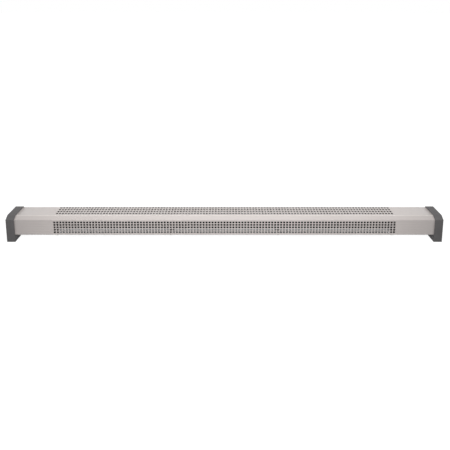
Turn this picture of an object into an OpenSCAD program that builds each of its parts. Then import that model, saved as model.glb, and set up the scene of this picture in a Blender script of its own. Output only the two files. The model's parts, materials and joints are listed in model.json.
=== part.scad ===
// Plinth convector heater: a low folded steel casing with perforated front and top,
// standing on two moulded end caps, with a finned electric element inside.
// Millimetres. X runs along the heater, -Y is the front, +Z is up.
// The origin is on the floor, in the middle of the footprint.

/* [Overall] */
// Length over both end caps
heater_length = 1172; // [1140:1:1600]
// Depth over the end caps, front to back
heater_depth = 70; // [68:1:100]
// Height from the floor to the top of the end caps
heater_height = 71; // [70:1:110]
// Gap between the floor and the underside of the casing
floor_gap = 19; // [12:1:24]

/* [Bevel between front and top] */
// Depth of the bevel, front to back, on the end caps
bevel_depth = 14; // [10:0.5:16]
// Height of the bevel on the end caps
bevel_height = 8; // [6:0.5:11]

/* [Casing sheet] */
// Thickness of the casing sheet
cover_sheet = 1; // [0.8:0.1:1.4]
// Outer radius of the casing folds
fold_radius = 2; // [1.6:0.1:3]
// Depth of the flange folded back under the front
bottom_flange = 9; // [7:0.5:12]
// Height of the flange folded down at the back
back_flange = 10; // [7:0.5:14]

/* [Grilles] */
// Distance from an end of the heater to the nearest hole column
grille_margin = 130; // [126:1:170]
// Distance between hole columns
column_pitch = 8; // [6.5:0.1:12]
// Width of every hole
hole_width = 5.4; // [4:0.1:5.8]
// Number of hole rows in the front
front_rows = 5; // [2:1:5]
// Distance between the front rows
front_row_pitch = 7; // [6:0.1:7.2]
// Height of a front hole
front_hole_height = 5; // [3:0.1:5.4]
// Distance from the front fold down to the first row
front_row_margin = 7; // [6:0.5:8]
// Number of hole rows in the top
top_rows = 4; // [1:1:4]
// Distance between the top rows
top_row_pitch = 12.1; // [10:0.1:12.1]
// Length of a top hole, front to back
top_hole_length = 7.5; // [5:0.1:8.1]
// Distance from the top fold back to the first row
top_row_margin = 11.5; // [10:0.5:11.5]

/* [End caps] */
// Width of an end cap along the heater
cap_width = 22.5; // [20:0.5:30]
// How far an end cap stands proud of the casing
cap_proud = 1.5; // [1.2:0.1:2]
// Wall of an end cap
cap_wall = 2.5; // [2:0.1:3]
// How far the casing slides into an end cap
cap_overlap = 6; // [4:0.5:9]
// Radius of the cap's corners in the side view
cap_corner = 2; // [1:0.5:3]
// Diameter of a screw post inside the cap
cap_post = 9; // [8.4:0.1:10]
// Distance between the two cap screws
cap_screw_spacing = 30; // [24:1:34]
// Height of the cap screws above the floor
cap_screw_height = 44; // [38:1:48]

/* [Chassis] */
// Thickness of the chassis sheet
chassis_sheet = 1; // [0.8:0.1:1.2]
// Thickness of the end plates
end_sheet = 1.5; // [1.2:0.1:2]
// Depth of the base under the element
base_depth = 34; // [30:1:38]
// Length of an air slot in the base
base_slot_length = 56; // [40:1:64]
// Width of an air slot in the base
base_slot_width = 18; // [10:1:22]
// Distance between air slots
base_slot_pitch = 74; // [70:1:90]
// Width of the riveted flanges
flange_width = 12; // [10:0.5:14]
// Width of the end plates' flanges, which reach past the end caps
end_flange_width = 17; // [16:0.5:18]
// Distance between the two wall-screw holes
wall_hole_spacing = 800; // [400:1:820]
// Height of the wall-screw holes above the floor
wall_hole_height = 44; // [40:1:50]
// Diameter of the wall-screw holes
wall_hole = 5; // [4:0.1:6]
// Hole columns that each end compartment takes from the grille
compartment_columns = 2; // [1:1:4]
// Distance of the middle supports from the centre
support_offset = 152; // [120:8:280]
// Height of the support's web above the tube
support_rise = 2; // [1:0.5:4]

/* [Air baffle] */
// Thickness of the baffle sheet
baffle_sheet = 0.8; // [0.6:0.1:1]
// Gap between the front sheet and the baffle
baffle_gap = 8.5; // [7:0.5:9]
// Height of the baffle's lower edge above the floor
baffle_bottom = 33; // [30:0.5:36]
// Height of the baffle's upper edge above the floor
baffle_top = 65; // [56:0.5:65]
// Width of the angles that hold the baffle
baffle_flange = 10; // [9:0.5:10.5]

/* [Heating element] */
// Diameter of the sheathed tube
tube_diameter = 8; // [6:0.5:8.5]
// Height of the tube's axis above the floor
tube_height = 48; // [40:0.5:53]
// Distance from a leg's axis to the nearest edge of the fins
leg_margin = 6.5; // [6:0.1:7]
// Distance between fins
fin_pitch = 8; // [5:0.5:12]
// Thickness of a fin
fin_sheet = 0.5; // [0.3:0.1:1]
// Gap between the fins and the baffle
fin_front_gap = 10.7; // [8:0.1:12]
// Gap between the fins and the chassis wall
fin_back_gap = 4; // [3:0.5:6]
// Height of a fin
fin_height = 28; // [20:1:30]
// Length of the collar round each tube on a fin
collar_length = 2.5; // [1:0.5:4]
// Wall of a fin's collar
collar_wall = 0.5; // [0.4:0.1:0.8]
// Distance from the left partition to the start of the bend
bend_start = 12; // [6:1:30]
// Length of the tube inside the terminal compartment
tube_tail = 22; // [18:1:26]

/* [Element fittings] */
// Diameter of the brass bush through the partition
bush_diameter = 11; // [10:0.5:12]
// Width across the corners of the bush head and of its nut
bush_hex = 15; // [14.5:0.5:16]
// Thickness of the bush head
bush_head = 4; // [3:0.5:5]
// Thickness of the bush nut
nut_thickness = 4; // [3:0.5:5]
// Length of the bush beyond the partition
bush_tail = 8; // [6:0.5:10]
// Diameter of the terminal pin
pin_diameter = 2.4; // [2:0.1:3]
// Length of the ceramic bead on the pin
bead_length = 6; // [4:0.5:8]
// Diameter of the ceramic bead
bead_diameter = 6.8; // [5:0.1:7]
// Length of the pin beyond the bead
pin_tail = 3; // [2:0.5:5]

/* [Tabs and wires] */
// Width of a push-on tab
tab_width = 6.3; // [5:0.1:6.5]
// Thickness of a push-on tab
tab_sheet = 0.8; // [0.5:0.1:1]
// Length of a push-on tab
tab_length = 8; // [6:0.5:9]
// Diameter of an insulated wire
wire_diameter = 2.2; // [1.6:0.1:2.6]

/* [Overheat cut-out] */
// Diameter of the cut-out's housing
cutout_diameter = 13; // [12:0.5:13.5]
// Length of the cut-out's housing
cutout_length = 9; // [7:0.5:12]
// Height of the cut-out's axis above the floor
cutout_height = 35; // [34.5:0.5:38]
// Distance between the cut-out's screws, one above the other
cutout_spacing = 19; // [18.5:0.5:19.5]
// Diameter of the cut-out's screws
cutout_screw = 3; // [2.5:0.1:3.2]
// Distance between the cut-out's tabs
cutout_tab_spacing = 8; // [7:0.5:9]
// Thickness of the cut-out's mounting flange
cutout_flange = 1; // [0.8:0.1:1.4]

/* [Terminal block] */
// Distance from the partition to the middle of the block
block_offset = 62; // [56:1:66]
// Distance between poles
pole_pitch = 11; // [10:0.5:12]
// Depth of the block, front to back
block_depth = 18; // [16:0.5:19]
// Height of the block
block_height = 16; // [14:0.5:18]
// Diameter of a wire entry
entry_diameter = 3.4; // [3:0.1:4]
// Height of the wire entries above the base
entry_rise = 6.4; // [5.5:0.1:7]
// Diameter of a clamping screw
clamp_diameter = 4; // [3:0.1:4.4]
// Diameter of the heads of the screws that fix the block
block_screw_head = 6; // [5:0.1:6.4]

/* [Supply inlet] */
// Distance from the partition to the middle of the inlet
inlet_offset = 94; // [93:0.5:95]
// Diameter of the gland's thread
gland_thread = 16; // [14:0.5:16]
// Diameter of the hole that the supply lead would pass through
gland_bore = 8; // [6:0.5:9]
// Width across the corners of the gland's nut
gland_hex = 20; // [18:0.5:21]
// Thickness of the gland's head under the base
gland_head = 5; // [4:0.5:7]
// Diameter of the gland's head
gland_flange = 21; // [20:0.5:22]
// Length of the gland's thread above the base
gland_rise = 8; // [6:0.5:10]
// Thickness of the gland's nut
gland_nut_thickness = 5; // [3:0.5:5.5]

/* [Fasteners] */
// Diameter of the rivets
rivet_diameter = 3.2; // [2.8:0.1:3.6]
// Height of a rivet head
rivet_head = 0.9; // [0.6:0.1:1.1]
// Diameter of the sheet-metal screws
screw_diameter = 3.5; // [3:0.1:4]
// Height of a screw head
screw_head = 2; // [1.6:0.1:2.4]
// Diameter of the earth stud
earth_diameter = 4; // [3:0.1:5]
// Length of the earth stud inside the wall
earth_length = 12; // [10:0.5:13]
// Height of the earth stud above the base
earth_rise = 34; // [26:1:38]
// Thickness of the earth nut
earth_nut_thickness = 3.2; // [2:0.1:4]

/* [Hidden] */

// Running gap between parts that slide together
fit_gap = 0.2;
// Extra length of a cut past the faces that it goes through, and of a boss into its body
past = 1;
// Flat facets that make up a fold, the round of a wire and its length
fold_steps = 5;
wire_sides = 8;
wire_steps = 20;
// Places of rivets and screws, from the face or edge beside them
base_rivet_inset = 7;
wall_rivet_low = 9;
wall_rivet_high = 34;
wall_flange_rise = 5;
cover_screw_inset = 4;
baffle_rivet_inset = 6;
baffle_rivet_low = 6;
baffle_rivet_high = 10;
cutout_ear = 3.5;
screw_reach = 3;
// Heads of rivets as a share of their shank: the set head and the one pressed up
set_head = 1.9;
pressed_head = 1.4;
// Width across the corners of a small nut as a share of its thread
nut_corners = 2;
// Driver slot of a clamping screw, and how deep the screw is sunk
slot_width = 0.8;
slot_depth = 1;
clamp_sink = 1;
// Least gap between a fin's collar and the support beside it
support_gap = 1;
// How deep a wire is pushed into the block
wire_seat = 3;
// Pulls that bend the wires: out of the block, off the cut-out, from there to a pin, off the
// rear pin and on to the stud
block_pull = [0, -16, 0];
cutout_pull = [16, -6, 0];
link_pull = [14, 0, 2];
neutral_pull = [26, -16];
stud_pull = [0, -16, -6];
// How far above the block the neutral wire is pulled
neutral_rise = 12;

bevel_slope = norm([bevel_depth, bevel_height]);
front_face = -heater_depth/2 + cap_proud;
back_face = heater_depth/2 - cap_proud;
top_face = heater_height - cap_proud;
casing_end = heater_length/2 - cap_width + cap_overlap;
inner_inset = cap_proud + cover_sheet;
wall_outer = back_face - cover_sheet;
wall_inner = wall_outer - chassis_sheet;
floor_top = floor_gap + max(cover_sheet, chassis_sheet);
base_front = wall_outer - base_depth;

grille_columns = floor((heater_length - 2*grille_margin)/column_pitch) + 1;
grille_half = (grille_columns - 1)/2*column_pitch;
partition_x = grille_half - (compartment_columns - 0.5)*column_pitch;

baffle_front = front_face + cover_sheet + baffle_gap;
baffle_back = baffle_front + baffle_sheet;
fin_front = baffle_back + fin_front_gap;
fin_back = wall_inner - fin_back_gap;
fin_depth = fin_back - fin_front;
front_leg = fin_front + leg_margin;
rear_leg = fin_back - leg_margin;
legs = [front_leg, rear_leg];
leg_spacing = rear_leg - front_leg;
element_middle = (front_leg + rear_leg)/2;
tube_end = partition_x + chassis_sheet + tube_tail;

cutout_face = partition_x + chassis_sheet;
cutout_end = cutout_face + cutout_flange + cutout_length;
pin_end = tube_end + bead_length + pin_tail;
block_middle = partition_x + block_offset;
block_y = (base_front + wall_inner)/2;
block_entry = floor_top + entry_rise;
inlet_x = partition_x + inlet_offset;
inlet_y = block_y;
earth_x = inlet_x;
earth_z = floor_top + earth_rise;

head_diameter = 2*screw_diameter;
cap_screw_places = [-cap_screw_spacing/2, cap_screw_spacing/2];
cover_screw_y = front_face + bottom_flange - cover_screw_inset;
base_rivet_y = wall_inner - base_rivet_inset;
wall_rivet_heights = [floor_top + wall_rivet_low, floor_top + wall_rivet_high];
baffle_rivet_y = baffle_back + baffle_rivet_inset;
baffle_rivet_x = partition_x - baffle_rivet_inset;
baffle_rivet_heights = [baffle_bottom + baffle_rivet_low, baffle_top - baffle_rivet_high];
wiring_cover_y = (front_face + bottom_flange + base_front)/2;
cutout_screw_heights = [for (side = [-1, 1]) cutout_height + side*cutout_spacing/2];
cutout_tab_places = [for (side = [-1, 1]) element_middle + side*cutout_tab_spacing/2];
poles = [for (i = [-1:1]) block_middle + i*pole_pitch];
block_screw_places = [block_middle - pole_pitch/2, block_middle + pole_pitch/2];
clamp_places = [block_y - block_depth/4, block_y + block_depth/4];
block_front = block_y - block_depth/2;
block_back = block_y + block_depth/2;
block_top = floor_top + block_height;

// Where each bracket stands: x of its web, way that its flanges point, sheet, flange width
brackets = [
    [-casing_end, 1, end_sheet, end_flange_width],
    [-partition_x, -1, chassis_sheet, flange_width],
    [-support_offset, 1, chassis_sheet, flange_width],
    [support_offset, -1, chassis_sheet, flange_width],
    [partition_x, 1, chassis_sheet, flange_width],
    [casing_end, -1, end_sheet, end_flange_width]
];
// Middles of the riveted flanges; the four inner ones also take a casing screw
flange_middles = [for (b = brackets) flange_middle(b)];
screwed_flanges = [for (i = [1:4]) flange_middles[i]];
wiring_cover_places = [flange_middles[4], flange_middles[5]];

// Height of the fold between front and bevel, for an outline this far inside the cap's
function crease_z(inset) =
    heater_height - bevel_height - inset*(bevel_slope - bevel_height)/bevel_depth;

// Place of the fold between bevel and top, for an outline this far inside the cap's
function bend_y(inset) =
    -heater_depth/2 + bevel_depth + inset*(bevel_slope - bevel_depth)/bevel_height;

function flange_middle(b) = b[0] + b[1]*(b[2] + b[3]/2);

function unit(v) = v/norm(v);

// The arc that rounds corner b between a and c
function corner_arc(a, b, c, r) =
    let (
        u = unit(a - b),
        v = unit(c - b),
        half = acos(u*v)/2,
        middle = b + unit(u + v)*r/sin(half),
        p = b + u*r/tan(half) - middle,
        q = b + v*r/tan(half) - middle,
        start = atan2(p.y, p.x),
        turn = atan2(p.x*q.y - p.y*q.x, p*q)
    )
    [for (k = [0:fold_steps])
        middle + r*[cos(start + turn*k/fold_steps), sin(start + turn*k/fold_steps)]];

// An open path with every corner between its ends rounded
function rounded_path(path, r) = [
    path[0],
    for (i = [1:len(path) - 2]) each corner_arc(path[i - 1], path[i], path[i + 1], r),
    path[len(path) - 1]
];

// Side outline from the bottom of the front, over the bevel, to the bottom of the back
function outline(inset, bottom, back) = [
    [-heater_depth/2 + inset, bottom],
    [-heater_depth/2 + inset, crease_z(inset)],
    [bend_y(inset), heater_height - inset],
    [back, heater_height - inset],
    [back, bottom]
];

// Points on a smooth curve through a, with the middle two points pulling it
function curve_point(p, t) =
    p[0]*pow(1 - t, 3) + p[1]*3*t*pow(1 - t, 2) + p[2]*3*t*t*(1 - t) + p[3]*pow(t, 3);

// Extrudes a side outline from x1 to x2
module along_x(x1, x2) {
    translate([x1, 0, 0])
        rotate([90, 0, 90])
            linear_extrude(x2 - x1)
                children();
}

// A round bar along X
module bar_x(x1, x2, y, z, diameter) {
    translate([x1, y, z])
        rotate([0, 90, 0])
            cylinder(h = x2 - x1, d = diameter, $fn = 48);
}

// A round bar along Y
module bar_y(x, y1, y2, z, diameter) {
    translate([x, y2, z])
        rotate([90, 0, 0])
            cylinder(h = y2 - y1, d = diameter, $fn = 32);
}

// A round bar along Z
module bar_z(x, y, z1, z2, diameter) {
    translate([x, y, z1])
        cylinder(h = z2 - z1, d = diameter, $fn = 32);
}

// A hexagonal prism along X
module hex_x(x1, x2, y, z, corners) {
    translate([x1, y, z])
        rotate([0, 90, 0])
            cylinder(h = x2 - x1, d = corners, $fn = 6);
}

// A box between two corners
module box(low, high) {
    translate(low)
        cube(high - low);
}

// One block of hole outlines, flat
module hole_field(rows, row_pitch, height) {
    for (i = [0:grille_columns - 1], j = [0:rows - 1])
        translate([i*column_pitch - grille_half, -j*row_pitch])
            square([hole_width, height], center = true);
}

// Casing

module front_cover() {
    outer = [
        [front_face + bottom_flange, floor_gap],
        [front_face, floor_gap],
        [front_face, crease_z(cap_proud)],
        [bend_y(cap_proud), top_face],
        [back_face, top_face],
        [back_face, top_face - back_flange]
    ];
    inner = [
        [back_face - cover_sheet, top_face - back_flange],
        [back_face - cover_sheet, top_face - cover_sheet],
        [bend_y(inner_inset), top_face - cover_sheet],
        [front_face + cover_sheet, crease_z(inner_inset)],
        [front_face + cover_sheet, floor_gap + cover_sheet],
        [front_face + bottom_flange, floor_gap + cover_sheet]
    ];
    color([0.80, 0.77, 0.75])
        difference() {
            along_x(-casing_end, casing_end)
                polygon(concat(
                    rounded_path(outer, fold_radius),
                    rounded_path(inner, fold_radius - cover_sheet)
                ));
            translate([0, front_face + cover_sheet + past, crease_z(cap_proud) - front_row_margin])
                rotate([90, 0, 0])
                    linear_extrude(cover_sheet + 2*past)
                        hole_field(front_rows, front_row_pitch, front_hole_height);
            translate([0, bend_y(cap_proud) + top_row_margin, top_face - cover_sheet - past])
                mirror([0, 1, 0])
                    linear_extrude(cover_sheet + 2*past)
                        hole_field(top_rows, top_row_pitch, top_hole_length);
            for (x = screwed_flanges)
                bar_z(x, cover_screw_y, floor_gap - past, floor_top + past, screw_diameter);
        }
}

// End caps

module end_cap() {
    inner_edge = heater_length/2 - cap_width;
    stop = casing_end + fit_gap;
    hollow_end = heater_length/2 - cap_wall;
    web_bottom = floor_gap - fit_gap - cap_wall;
    color([0.36, 0.36, 0.36]) {
        difference() {
            along_x(inner_edge, heater_length/2)
                polygon(rounded_path(outline(0, 0, heater_depth/2), cap_corner));
            along_x(inner_edge - past, stop)
                polygon(outline(cap_proud - fit_gap, floor_gap - fit_gap, back_face + fit_gap));
            along_x(stop - past, hollow_end)
                polygon(outline(
                    cap_proud + cap_wall, floor_gap + cap_wall, back_face - cap_wall));
            box(
                [inner_edge + cap_wall, -heater_depth/2 + cap_wall, -past],
                [hollow_end, heater_depth/2 - cap_wall, web_bottom]
            );
            for (y = cap_screw_places) {
                bar_x(stop, heater_length/2 + past, y, cap_screw_height, screw_diameter + fit_gap);
                bar_x(heater_length/2 - screw_head, heater_length/2 + past, y, cap_screw_height,
                    head_diameter + 2*fit_gap);
            }
        }
        for (y = cap_screw_places)
            difference() {
                bar_x(casing_end, hollow_end + cap_wall/2, y, cap_screw_height, cap_post);
                bar_x(casing_end - past, heater_length/2 + past, y, cap_screw_height,
                    screw_diameter + fit_gap);
                bar_x(heater_length/2 - screw_head, heater_length/2 + past, y, cap_screw_height,
                    head_diameter + 2*fit_gap);
            }
    }
}

module end_cap_left() {
    mirror([1, 0, 0])
        end_cap();
}

module end_cap_right() {
    end_cap();
}

// Chassis

module back_plate() {
    color([0.70, 0.71, 0.72])
        difference() {
            box([-casing_end, wall_inner, floor_gap],
                [casing_end, wall_outer, top_face - fold_radius]);
            for (x = [-wall_hole_spacing/2, wall_hole_spacing/2])
                bar_y(x, wall_inner - past, wall_outer + past, wall_hole_height, wall_hole);
            for (x = flange_middles, z = wall_rivet_heights)
                bar_y(x, wall_inner - past, wall_outer + past, z, rivet_diameter);
            bar_y(earth_x, wall_inner - past, wall_outer + past, earth_z, earth_diameter);
        }
}

module base_plate() {
    slots = floor((2*partition_x - base_slot_length)/base_slot_pitch);
    color([0.70, 0.71, 0.72])
        difference() {
            box([-casing_end, base_front, floor_gap],
                [casing_end, wall_inner, floor_gap + chassis_sheet]);
            for (i = [-slots/2:slots/2])
                translate([i*base_slot_pitch, block_y, floor_gap + chassis_sheet/2])
                    cube([base_slot_length, base_slot_width, chassis_sheet + 2*past], center = true);
            for (x = flange_middles)
                bar_z(x, base_rivet_y, floor_gap - past, floor_top + past, rivet_diameter);
            bar_z(inlet_x, inlet_y, floor_gap - past, floor_top + past, gland_thread);
            for (x = block_screw_places)
                bar_z(x, block_y, floor_gap - past, floor_top + past, screw_diameter);
        }
}

// Plate that closes an end compartment from below, in front of the base
module wiring_cover() {
    color([0.70, 0.71, 0.72])
        difference() {
            box([partition_x, front_face + bottom_flange + fit_gap, floor_gap],
                [casing_end, base_front - fit_gap, floor_gap + chassis_sheet]);
            wiring_cover_holes();
        }
}

module wiring_cover_left() {
    mirror([1, 0, 0])
        wiring_cover();
}

module wiring_cover_right() {
    wiring_cover();
}

// Screw holes of the wiring cover and of the flanges above it
module wiring_cover_holes() {
    for (x = wiring_cover_places)
        bar_z(x, wiring_cover_y, floor_gap - past, floor_top + end_sheet + past, screw_diameter);
}

// A bracket across the casing: its web, and flanges on the base and on the wall
module bracket(b, top_points) {
    low = min(b[0], b[0] + b[1]*b[2]);
    reach = b[0] + b[1]*(b[2] + b[3]);
    flange_low = min(b[0], reach);
    flange_high = max(b[0], reach);
    difference() {
        union() {
            along_x(low, low + b[2])
                polygon(top_points);
            box([flange_low, front_face + fold_radius, floor_top],
                [flange_high, wall_inner, floor_top + b[2]]);
            box([flange_low, wall_inner - b[2], floor_top],
                [flange_high, wall_inner, wall_rivet_heights[1] + wall_flange_rise]);
        }
        bar_z(flange_middle(b), base_rivet_y, floor_top - past, floor_top + b[2] + past,
            rivet_diameter);
        bar_z(flange_middle(b), cover_screw_y, floor_top - past, floor_top + b[2] + past,
            screw_diameter);
        for (z = wall_rivet_heights)
            bar_y(flange_middle(b), wall_inner - b[2] - past, wall_inner + past, z,
                rivet_diameter);
    }
}

// Full-height web that closes the casing's section, clear of its lower fold
function full_web() =
    let (edge = outline(inner_inset + fit_gap, floor_top, wall_inner))
    concat([[front_face + fold_radius, edge[0].y], edge[0] + [0, fold_radius]],
        [for (i = [1:4]) edge[i]]);

module end_plate(b) {
    color([0.70, 0.71, 0.72])
        difference() {
            bracket(b, full_web());
            mirror([b[0] > 0 ? 0 : 1, 0, 0])
                wiring_cover_holes();
            for (y = cap_screw_places)
                bar_x(b[0] - b[2] - past, b[0] + b[2] + past, y, cap_screw_height,
                    screw_diameter);
        }
}

module end_plate_left() {
    end_plate(brackets[0]);
}

module end_plate_right() {
    end_plate(brackets[5]);
}

// Open slots that the tube's legs drop into
module leg_slots(b) {
    for (y = legs) {
        bar_x(b[0] - b[2] - past, b[0] + b[2] + past, y, tube_height, tube_diameter + fit_gap);
        box([b[0] - b[2] - past, y - (tube_diameter + fit_gap)/2, tube_height],
            [b[0] + b[2] + past, y + (tube_diameter + fit_gap)/2, heater_height]);
    }
}

// Holes for the rivets that hold the baffle's end flanges
module baffle_holes(b) {
    for (z = baffle_rivet_heights)
        bar_x(b[0] - b[2] - past, b[0] + b[2] + past, baffle_rivet_y, z, rivet_diameter);
}

module partition_left() {
    b = brackets[1];
    color([0.70, 0.71, 0.72])
        difference() {
            bracket(b, full_web());
            mirror([1, 0, 0])
                wiring_cover_holes();
            leg_slots(b);
            baffle_holes(b);
        }
}

module partition_right() {
    b = brackets[4];
    color([0.70, 0.71, 0.72])
        difference() {
            bracket(b, full_web());
            wiring_cover_holes();
            for (y = legs)
                bar_x(b[0] - past, b[0] + b[2] + past, y, tube_height, bush_diameter);
            baffle_holes(b);
            for (z = cutout_screw_heights)
                bar_x(b[0] - past, b[0] + b[2] + past, element_middle, z, cutout_screw);
        }
}

module middle_supports() {
    web_top = tube_height + tube_diameter/2 + support_rise;
    web = [
        [baffle_back + fit_gap, floor_top],
        [baffle_back + fit_gap, tube_height],
        [front_leg - tube_diameter, web_top],
        [wall_inner, web_top],
        [wall_inner, floor_top]
    ];
    color([0.70, 0.71, 0.72])
        for (i = [2, 3])
            difference() {
                bracket(brackets[i], web);
                leg_slots(brackets[i]);
            }
}

// Air baffle

module air_baffle() {
    color([0.10, 0.10, 0.10])
        difference() {
            box([fit_gap - partition_x, baffle_front, baffle_bottom],
                [partition_x - fit_gap, baffle_back, baffle_top]);
            for (x = [-baffle_rivet_x, baffle_rivet_x], z = baffle_rivet_heights)
                bar_y(x, baffle_front - past, baffle_back + past, z, rivet_diameter);
        }
}

// Angles that hold the baffle's ends to the partitions
module baffle_brackets() {
    top = baffle_rivet_heights[1] + baffle_rivet_low;
    color([0.70, 0.71, 0.72])
        for (side = [0, 1])
            mirror([side, 0, 0])
                difference() {
                    union() {
                        box([partition_x - chassis_sheet, baffle_back, baffle_bottom],
                            [partition_x, baffle_back + baffle_flange, top]);
                        box([partition_x - baffle_flange, baffle_back, baffle_bottom],
                            [partition_x, baffle_back + chassis_sheet, top]);
                    }
                    for (z = baffle_rivet_heights) {
                        bar_x(partition_x - chassis_sheet - past, partition_x + past,
                            baffle_rivet_y, z, rivet_diameter);
                        bar_y(baffle_rivet_x, baffle_back - past,
                            baffle_back + chassis_sheet + past, z, rivet_diameter);
                    }
                }
}

// Heating element

module heating_tube() {
    bend_middle = -partition_x - chassis_sheet - bend_start;
    color([0.55, 0.55, 0.54])
        union() {
            for (y = legs)
                bar_x(bend_middle, tube_end, y, tube_height, tube_diameter);
            translate([bend_middle, element_middle, tube_height])
                rotate([0, 0, 90])
                    rotate_extrude(angle = 180, $fn = 64)
                        translate([leg_spacing/2, 0])
                            circle(d = tube_diameter, $fn = 48);
        }
}

// One fin: a pierced plate with a collar round each leg
module fin(x) {
    along_x(x - fin_sheet/2, x + fin_sheet/2)
        difference() {
            translate([element_middle, tube_height])
                square([fin_depth, fin_height], center = true);
            for (y = legs)
                translate([y, tube_height])
                    circle(d = tube_diameter, $fn = 48);
        }
    for (y = legs)
        along_x(x + fin_sheet/2, x + collar_length)
            translate([y, tube_height])
                difference() {
                    circle(d = tube_diameter + 2*collar_wall, $fn = 48);
                    circle(d = tube_diameter, $fn = 48);
                }
}

module heating_fins() {
    reach = partition_x - bush_head - fin_pitch/2;
    last = floor(reach/fin_pitch);
    color([0.86, 0.87, 0.88])
        for (i = [-last:last])
            if (abs(abs(i*fin_pitch) - support_offset) > collar_length + chassis_sheet + support_gap)
                fin(i*fin_pitch);
}

module element_bushes() {
    color([0.80, 0.66, 0.36])
        for (y = legs)
            difference() {
                union() {
                    hex_x(partition_x - bush_head, partition_x, y, tube_height, bush_hex);
                    bar_x(partition_x - bush_head/2, partition_x + chassis_sheet + bush_tail, y,
                        tube_height, bush_diameter);
                }
                bar_x(partition_x - bush_head - past, tube_end, y, tube_height, tube_diameter);
            }
}

module element_nuts() {
    nut_start = partition_x + chassis_sheet;
    color([0.80, 0.66, 0.36])
        for (y = legs)
            difference() {
                hex_x(nut_start, nut_start + nut_thickness, y, tube_height, bush_hex);
                bar_x(nut_start - past, nut_start + nut_thickness + past, y, tube_height,
                    bush_diameter);
            }
}

module terminal_beads() {
    color([0.93, 0.91, 0.86])
        for (y = legs)
            difference() {
                bar_x(tube_end, tube_end + bead_length, y, tube_height, bead_diameter);
                bar_x(tube_end - past, tube_end + bead_length + past, y, tube_height,
                    pin_diameter);
            }
}

module terminal_pins() {
    color([0.75, 0.75, 0.74])
        for (y = legs) {
            bar_x(tube_end, pin_end, y, tube_height, pin_diameter);
            box([pin_end - pin_tail/2, y - tab_width/2, tube_height - tab_sheet/2],
                [pin_end + tab_length, y + tab_width/2, tube_height + tab_sheet/2]);
        }
}

// Overheat cut-out

module overheat_cutout() {
    color([0.20, 0.19, 0.19])
        union() {
            difference() {
                box([cutout_face, element_middle - cutout_ear,
                        cutout_screw_heights[0] - cutout_ear],
                    [cutout_face + cutout_flange, element_middle + cutout_ear,
                        cutout_screw_heights[1] + cutout_ear]);
                for (z = cutout_screw_heights)
                    bar_x(cutout_face - past, cutout_face + cutout_flange + past,
                        element_middle, z, cutout_screw);
            }
            bar_x(cutout_face, cutout_end, element_middle, cutout_height, cutout_diameter);
            for (y = cutout_tab_places)
                box([cutout_end - past, y - tab_sheet/2, cutout_height - tab_width/2],
                    [cutout_end + tab_length, y + tab_sheet/2, cutout_height + tab_width/2]);
        }
}

module cutout_screws() {
    seat = cutout_face + cutout_flange;
    color([0.75, 0.75, 0.74])
        for (z = cutout_screw_heights) {
            bar_x(partition_x - screw_reach, seat, element_middle, z, cutout_screw);
            bar_x(seat, seat + screw_head, element_middle, z, set_head*cutout_screw);
        }
}

// Terminal block

module terminal_block() {
    half_length = pole_pitch*1.5;
    color([0.90, 0.89, 0.84])
        difference() {
            box([block_middle - half_length, block_front, floor_top],
                [block_middle + half_length, block_back, block_top]);
            for (x = poles) {
                bar_y(x, block_front - past, block_back + past, block_entry, entry_diameter);
                for (y = clamp_places)
                    bar_z(x, y, block_entry, block_top + past, clamp_diameter + fit_gap);
            }
            for (x = block_screw_places) {
                bar_z(x, block_y, floor_top - past, block_top + past, screw_diameter);
                bar_z(x, block_y, block_top - screw_head, block_top + past,
                    block_screw_head + fit_gap);
            }
        }
}

module clamp_screws() {
    low = block_entry + entry_diameter/2;
    high = block_top - clamp_sink;
    color([0.78, 0.74, 0.60])
        for (x = poles, y = clamp_places)
            difference() {
                bar_z(x, y, low, high, clamp_diameter);
                box([x - clamp_diameter, y - slot_width/2, high - slot_depth],
                    [x + clamp_diameter, y + slot_width/2, high + past]);
            }
}

module block_screws() {
    color([0.75, 0.75, 0.74])
        for (x = block_screw_places) {
            bar_z(x, block_y, floor_gap - screw_reach, block_top - screw_head, screw_diameter);
            bar_z(x, block_y, block_top - screw_head, block_top, block_screw_head);
        }
}

// Earth connection

module earth_stud() {
    color([0.80, 0.66, 0.36]) {
        bar_y(earth_x, wall_inner - earth_length, wall_outer, earth_z, earth_diameter);
        bar_y(earth_x, wall_outer, wall_outer + rivet_head, earth_z, set_head*earth_diameter);
    }
}

module earth_nut() {
    color([0.75, 0.75, 0.74])
        difference() {
            translate([earth_x, wall_inner, earth_z])
                rotate([90, 0, 0])
                    cylinder(h = earth_nut_thickness, d = nut_corners*earth_diameter, $fn = 6);
            bar_y(earth_x, wall_inner - earth_nut_thickness - past, wall_inner + past, earth_z,
                earth_diameter);
        }
}

// Wires

// A smooth insulated wire along a curve with four control points
module wire(p) {
    points = [for (i = [0:wire_steps]) curve_point(p, i/wire_steps)];
    rings = [for (i = [0:wire_steps])
        let (
            ahead = unit(points[min(i + 1, wire_steps)] - points[max(i - 1, 0)]),
            side = unit(cross(ahead, [0.31, 0.17, 1])),
            up = cross(side, ahead)
        )
        for (k = [0:wire_sides - 1])
            points[i] + wire_diameter/2*(cos(360*k/wire_sides)*side + sin(360*k/wire_sides)*up)];
    walls = [for (i = [0:wire_steps - 1], k = [0:wire_sides - 1])
        let (
            a = i*wire_sides + k,
            b = i*wire_sides + (k + 1)%wire_sides
        )
        each [[a, b, b + wire_sides], [a, b + wire_sides, a + wire_sides]]];
    first = [for (k = [1:wire_sides - 2]) [0, k + 1, k]];
    last_ring = wire_steps*wire_sides;
    last = [for (k = [1:wire_sides - 2]) [last_ring, last_ring + k, last_ring + k + 1]];
    polyhedron(points = rings, faces = concat(walls, first, last));
}

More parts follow.
